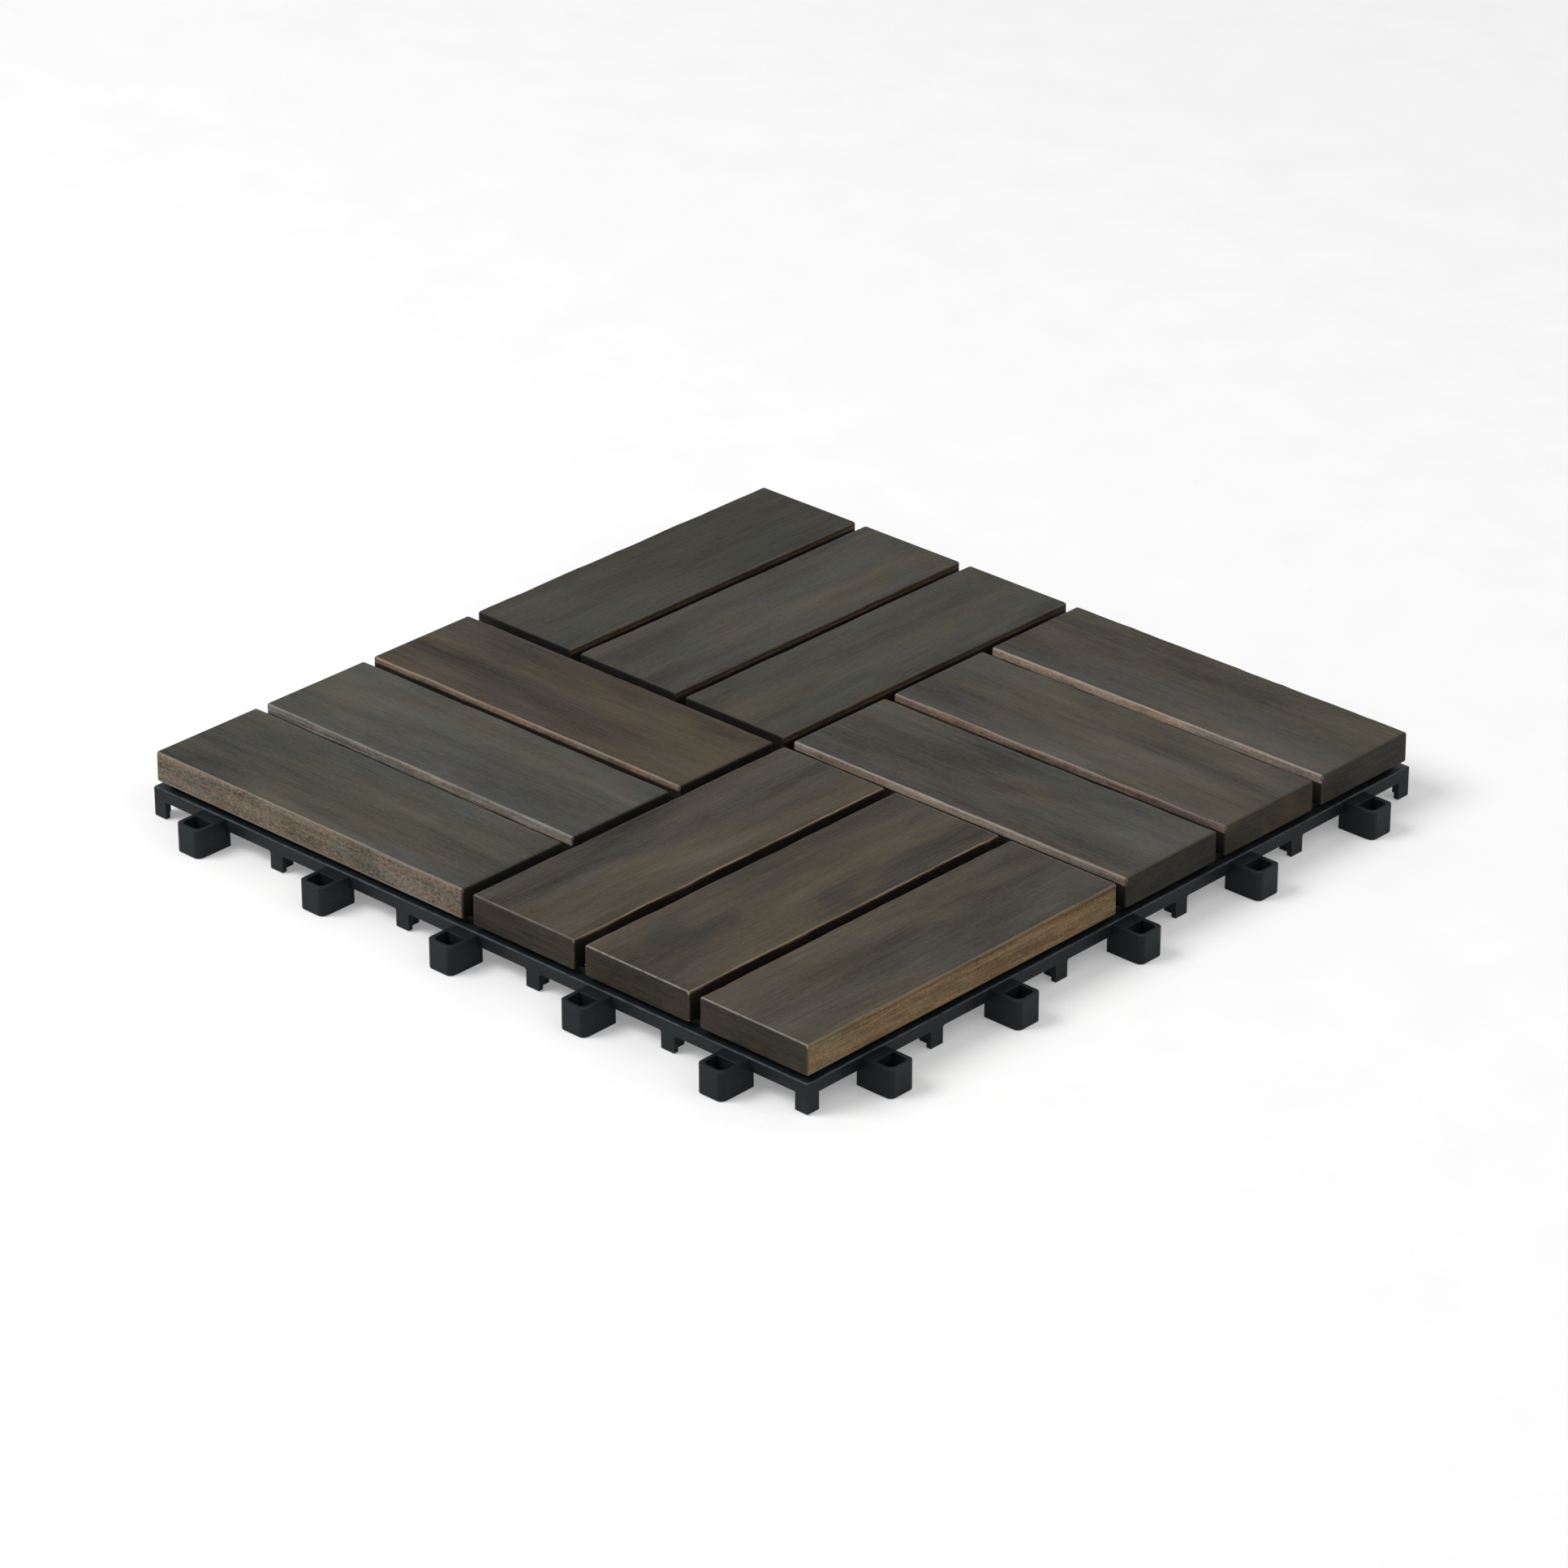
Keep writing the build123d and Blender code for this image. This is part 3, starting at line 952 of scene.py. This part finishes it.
@dataclass
class MouldedBase:
    """The one-piece moulding under the slats: rim, grid, feet, loops and pegs. Lengths are in metres."""

    node: str = "base"
    edge_round: float = 0.2 * MM
    edge_rub_and_highlight: float = 0.35
    rim_round: float = 0.45 * MM
    rim_rub_and_highlight: float = 0.75
    loop_room: float = 0.2 * MM
    grid_room: float = 0.6 * MM
    sharp: float = math.radians(32.0)
    flat: float = math.radians(0.5)
    boss_radii: Triple = (5.0 * MM, 3.5 * MM, 1.75 * MM)
    boss_round: float = 0.2
    rim_top: float = 11.0 * MM
    rim_side: float = 150.0 * MM

    def on_rim(self, place: Vector) -> bool:
        """Whether a place is on the rim's upper outer edge, which takes the palest edge colour: wear and a
        painted highlight.
        """
        reach = max(abs(place.x), abs(place.y))
        return abs(place.z - self.rim_top) < 10 * HAIR and abs(reach - self.rim_side) < 10 * HAIR

    def round_bosses(self, bm: bmesh.types.BMesh) -> None:
        """Rounds the screw bosses, their counterbores and their holes.

        Args:
            bm: The moulding, with its flat faces whole.
        """
        places = screw_places()
        for radius in self.boss_radii:
            corners = []
            for edge in bm.edges:
                first, second = (corner.co for corner in edge.verts)
                if (first - second).xy.length > HAIR or abs(first.z - second.z) < HAIR:
                    continue
                if min(abs(math.dist(first.xy, place) - radius) for place in places) < 20 * HAIR:
                    corners.append(edge)
            rounded(bm, corners, self.boss_round * radius, 2)

    def sharp_edges(self, bm: bmesh.types.BMesh) -> list[bmesh.types.BMEdge]:
        """The edges where the moulding's surface turns at once."""
        return [edge for edge in bm.edges if edge.calc_face_angle(0.0) > self.sharp]

    def open_edges(self, bm: bmesh.types.BMesh) -> list[bmesh.types.BMEdge]:
        """Finds the outward edges that can be rounded without running into their neighbours.

        Args:
            bm: The moulding in work.

        Returns:
            The edges. Those of the loops, which show most, need less room.
        """
        tight = {room: {corner for edge in bm.edges if edge.calc_length() < room for corner in edge.verts}
                 for room in (self.loop_room, self.grid_room)}
        chosen = []
        for edge in self.sharp_edges(bm):
            reach = [max(abs(corner.co.x), abs(corner.co.y)) for corner in edge.verts]
            on_loop = min(reach) > self.rim_side - HAIR and max(reach) > self.rim_side + 100 * HAIR
            crowded = tight[self.loop_room if on_loop else self.grid_room]
            if edge.is_convex and crowded.isdisjoint(edge.verts):
                chosen.append(edge)
        return chosen

    def build(self) -> bpy.types.Object:
        """Rounds the moulding's edges and dresses it.

        Returns:
            The piece.
        """
        bm = bmesh.new()
        bm.from_mesh(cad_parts[self.node].data)
        bmesh.ops.remove_doubles(bm, verts=bm.verts, dist=2 * HAIR)
        bmesh.ops.dissolve_limit(bm, angle_limit=self.flat, verts=bm.verts, edges=bm.edges, delimit=set())
        self.round_bosses(bm)
        # The rounded edges and the rim's lip store how pale they turn: wear and a painted highlight,
        # strongest on the lip.
        rub = bm.loops.layers.float.new("rub")
        lip = [edge for edge in bm.edges if all(self.on_rim(corner.co) for corner in edge.verts)]
        for face in rounded(bm, lip, self.rim_round, 2):
            for corner in face.loops:
                corner[rub] = self.rim_rub_and_highlight
        made = set(rounded(bm, self.open_edges(bm), self.edge_round, 2))
        for face in made:
            for corner in face.loops:
                if made.issuperset(corner.vert.link_faces):
                    corner[rub] = self.edge_rub_and_highlight
        bmesh.ops.triangulate(bm, faces=bm.faces, quad_method="BEAUTY", ngon_method="BEAUTY")
        for edge in self.sharp_edges(bm):
            edge.smooth = False
        return kept_mesh(bm, "moulded_base", MouldedPlastic().material(), self.node)


@dataclass
class ScrewSet:
    """The twenty-four pan-head screws under the slats, with their heads down. Lengths are in metres.

    The dome's steps are shares of the head's radius, each with its height above the head's face.
    """

    node: str = "screws"
    head_radius: float = 3.15 * MM
    head_low: float = 6.7 * MM
    dome: tuple[Pair, ...] = ((0.62, 0.0), (0.84, 0.12 * MM), (0.97, 0.55 * MM), (1.0, 1.0 * MM))
    seat: float = 8.4 * MM
    core: float = 1.2 * MM
    thread_radius: float = 1.46 * MM
    thread_width: float = 0.4 * MM
    tip: float = 20.6 * MM
    tip_length: float = 2.0 * MM
    tip_radius: float = 0.05 * MM
    pitch: float = 1.25 * MM
    turns: int = 8
    turn_steps: int = 12
    sides: int = 20
    recess_reach: float = 1.5 * MM
    recess_half: float = 0.42 * MM
    recess_depth: float = 1.1 * MM
    recess_taper: float = 0.6
    twist: float = 0.7

    def chain(self, bm: bmesh.types.BMesh, outline: Sequence[Pair]) -> list[bmesh.types.BMElem]:
        """Draws an outline to be spun round the screw's axis.

        Args:
            bm: The screw in work.
            outline: Radius and height of each corner.

        Returns:
            Its corners and edges.
        """
        corners = [bm.verts.new((radius, 0.0, height)) for radius, height in outline]
        return corners + [bm.edges.new(pair) for pair in zip(corners, corners[1:])]

    def body(self, bm: bmesh.types.BMesh) -> list[bmesh.types.BMEdge]:
        """Spins the head and the shank round the screw's axis.

        Args:
            bm: The screw in work.

        Returns:
            The open rim round the recess.
        """
        outline = [(share * self.head_radius, self.head_low + rise) for share, rise in self.dome]
        outline += [(self.head_radius, self.seat), (self.core, self.seat),
                    (self.core, self.tip - self.tip_length), (self.tip_radius, self.tip)]
        bmesh.ops.spin(bm, geom=self.chain(bm, outline), cent=ORIGIN, axis=UP, angle=2 * math.pi,
                       steps=self.sides, use_merge=True)
        bmesh.ops.remove_doubles(bm, verts=bm.verts, dist=0.1 * HAIR)
        tip = [edge for edge in bm.edges if edge.is_boundary
               and min(corner.co.z for corner in edge.verts) > self.tip - HAIR]
        bmesh.ops.contextual_create(bm, geom=tip)
        return [edge for edge in bm.edges if edge.is_boundary]

    def recess(self, bm: bmesh.types.BMesh, rim: list[bmesh.types.BMEdge]) -> None:
        """Sinks the cross recess into the head.

        Args:
            bm: The screw in work.
            rim: The open rim of the head.
        """
        far, near = self.recess_reach, self.recess_half
        quarter = [(far, near), (near, near), (near, far)]
        outline = []
        for turn in range(4):
            cosine, sine = round(math.cos(turn * math.pi / 2)), round(math.sin(turn * math.pi / 2))
            outline += [(x * cosine - y * sine, x * sine + y * cosine) for x, y in quarter]
        corners = [bm.verts.new((x, y, self.head_low)) for x, y in outline]
        loop = [bm.edges.new(pair) for pair in zip(corners, corners[1:] + corners[:1])]
        bmesh.ops.bridge_loops(bm, edges=rim + loop)
        floor = bm.faces.new(corners)
        sunk = bmesh.ops.extrude_face_region(bm, geom=[floor])
        lower = [item for item in sunk["geom"] if isinstance(item, bmesh.types.BMVert)]
        bmesh.ops.delete(bm, geom=[floor], context="FACES_ONLY")
        bmesh.ops.scale(bm, vec=(self.recess_taper, self.recess_taper, 1.0), verts=lower)
        bmesh.ops.translate(bm, vec=(0.0, 0.0, self.recess_depth), verts=lower)

    def thread(self, bm: bmesh.types.BMesh) -> None:
        """Winds the thread round the shank.

        Args:
            bm: The screw in work.
        """
        low, root = self.seat + 1.0 * MM, 0.96 * self.core
        outline = ((root, low), (self.thread_radius, low + self.thread_width / 2),
                   (root, low + self.thread_width))
        steps = self.turn_steps * self.turns
        bmesh.ops.spin(bm, geom=self.chain(bm, outline), cent=ORIGIN, axis=UP,
                       dvec=(0.0, 0.0, self.pitch * self.turns / steps), angle=2 * math.pi * self.turns,
                       steps=steps, use_merge=False)

    def build(self) -> bpy.types.Object:
        """Builds one screw, repeats it at its places and dresses the set.

        Returns:
            The piece.
        """
        bm = bmesh.new()
        self.recess(bm, self.body(bm))
        bmesh.ops.recalc_face_normals(bm, faces=bm.faces)
        self.thread(bm)
        single = bpy.data.meshes.new("one_screw")
        bm.to_mesh(single)
        bm.free()
        every = bmesh.new()
        for number, (x, y) in enumerate(screw_places()):
            before = len(every.verts)
            every.from_mesh(single)
            every.verts.ensure_lookup_table()
            fresh = every.verts[before:]
            turn = Matrix.Rotation(self.twist * number, 3, "Z")
            bmesh.ops.rotate(every, verts=fresh, cent=ORIGIN, matrix=turn)
            bmesh.ops.translate(every, verts=fresh, vec=(x, y, 0.0))
        bpy.data.meshes.remove(single)
        return kept_mesh(every, "pan_head_screws", ZincSteel().material(), self.node)


def shown(tree: bpy.types.NodeTree) -> Socket:
    """Whether a ray comes from the camera, or from it by way of a shiny or clear surface.

    Args:
        tree: The nodes of a world or a material.

    Returns:
        One for such a ray, else zero.
    """
    path = tree.nodes.new("ShaderNodeLightPath")
    seen = path.outputs["Is Camera Ray"]
    for ray in ("Is Glossy Ray", "Is Transmission Ray"):
        either = tree.nodes.new("ShaderNodeMath")
        either.operation = "MAXIMUM"
        tree.links.new(seen, either.inputs[0])
        tree.links.new(path.outputs[ray], either.inputs[1])
        seen = either.outputs[0]
    return seen


def direction(azimuth: float, elevation: float) -> Vector:
    """Direction from the tile to a place round it.

    Args:
        azimuth: Azimuth in degrees; 0 looks along +Y.
        elevation: Elevation in degrees.

    Returns:
        The unit vector.
    """
    turn, rise = math.radians(azimuth), math.radians(elevation)
    return Vector((math.sin(turn) * math.cos(rise), -math.cos(turn) * math.cos(rise), math.sin(rise)))


def aimed(name: str, data: bpy.types.ID, target: Vector, back: Vector, distance: float) -> bpy.types.Object:
    """Places a lamp or camera so that it looks at a target.

    Args:
        name: Name of the object.
        data: The lamp's or camera's data.
        target: What it looks at.
        back: Direction from the target to it.
        distance: Its distance from the target in metres.

    Returns:
        The object.
    """
    item = bpy.data.objects.new(name, data)
    item.location = target + back * distance
    item.rotation_mode = "QUATERNION"
    item.rotation_quaternion = (-back).to_track_quat("-Z", "Y")
    bpy.context.scene.collection.objects.link(item)
    return item


@dataclass(frozen=True)
class Lamp:
    """One soft round lamp. Angles are in degrees, lengths in metres and the power in watts."""

    name: str
    azimuth: float
    elevation: float
    size: float
    power: float
    distance: float = 2.6

    def hang(self) -> None:
        """Hangs the lamp so that it looks at the tile."""
        data = bpy.data.lights.new(self.name, "AREA")
        data.shape = "DISK"
        data.size = self.size
        data.energy = self.power
        aimed(self.name, data, Vector(ORIGIN), direction(self.azimuth, self.elevation), self.distance)


@dataclass
class Studio:
    """Floor, light and camera. Angles are in degrees, lengths in metres, lens and sensor in millimetres."""

    azimuth: float = 43.0
    elevation: float = 26.7
    distance: float = 2.13
    lens: float = 145.0
    sensor: float = 36.0
    clip: Pair = (0.05, 30.0)
    aim: Triple = (0.003, -0.003, 0.010)
    floor_radius: float = 6.0
    floor_drop: float = 0.2 * MM
    floor_glow: float = 0.25
    floor_greys: Pair = (0.78, 0.82)
    floor_scale: float = 30.0
    floor_roughness: float = 0.9
    floor_specular: float = 0.1
    world_levels: Pair = (0.45, 1.0)
    lamps: tuple[Lamp, ...] = (Lamp("key", -35.0, 48.0, 1.5, 42.0), Lamp("fill", 100.0, 40.0, 2.0, 9.0))

    def floor(self) -> None:
        """Lays a pale floor that stays white to the camera and keeps the shadow."""
        bm = bmesh.new()
        bmesh.ops.create_circle(bm, cap_ends=True, segments=96, radius=self.floor_radius)
        mesh = bpy.data.meshes.new("floor")
        bm.to_mesh(mesh)
        bm.free()
        floor = bpy.data.objects.new("floor", mesh)
        floor.location.z = -self.floor_drop
        bpy.context.scene.collection.objects.link(floor)
        bench = Bench("pale_floor")
        speck = bench.noise(bench.place(), self.floor_scale, 3.0, 0.6)
        darker, lighter = ((grey, grey, grey, 1.0) for grey in self.floor_greys)
        colour = bench.blend(bench.fade(speck, 0.2, 0.8), darker, lighter)
        bench.feed(bench.shader.inputs["Base Color"], colour)
        bench.shader.inputs["Roughness"].default_value = self.floor_roughness
        bench.shader.inputs["Specular IOR Level"].default_value = self.floor_specular
        bench.shader.inputs["Emission Color"].default_value = WHITE
        glow = bench.product(shown(bench.tree), self.floor_glow)
        bench.feed(bench.shader.inputs["Emission Strength"], glow)
        mesh.materials.append(bench.material)

    def world(self) -> None:
        """Surrounds the scene with soft white light, brighter to the camera than to the tile."""
        world = bpy.data.worlds.new("white_room")
        bpy.context.scene.world = world
        world.use_nodes = True
        tree = world.node_tree
        light = tree.nodes["Background"]
        level = tree.nodes.new("ShaderNodeMapRange")
        tree.links.new(shown(tree), level.inputs["Value"])
        level.inputs["To Min"].default_value, level.inputs["To Max"].default_value = self.world_levels
        light.inputs["Color"].default_value = WHITE
        tree.links.new(level.outputs[0], light.inputs["Strength"])

    def camera(self) -> None:
        """Sets the camera at the photograph's viewing angle."""
        data = bpy.data.cameras.new("camera")
        data.lens = self.lens
        data.sensor_width = self.sensor
        data.clip_start, data.clip_end = self.clip
        back = direction(self.azimuth, self.elevation)
        bpy.context.scene.camera = aimed("camera", data, Vector(self.aim), back, self.distance)

    def build(self) -> None:
        """Sets up the studio."""
        bpy.context.scene.view_settings.view_transform = "Standard"
        self.floor()
        self.world()
        for lamp in self.lamps:
            lamp.hang()
        self.camera()
        log.info("studio ready")


def main() -> None:
    """Builds the dressed tile and its studio."""
    for piece in (MouldedBase().build(), ScrewSet().build()):
        log.info("%s: %d faces", piece.name, len(piece.data.polygons))
    Weave().build()
    Studio().build()


if __name__ == "__main__":
    main()
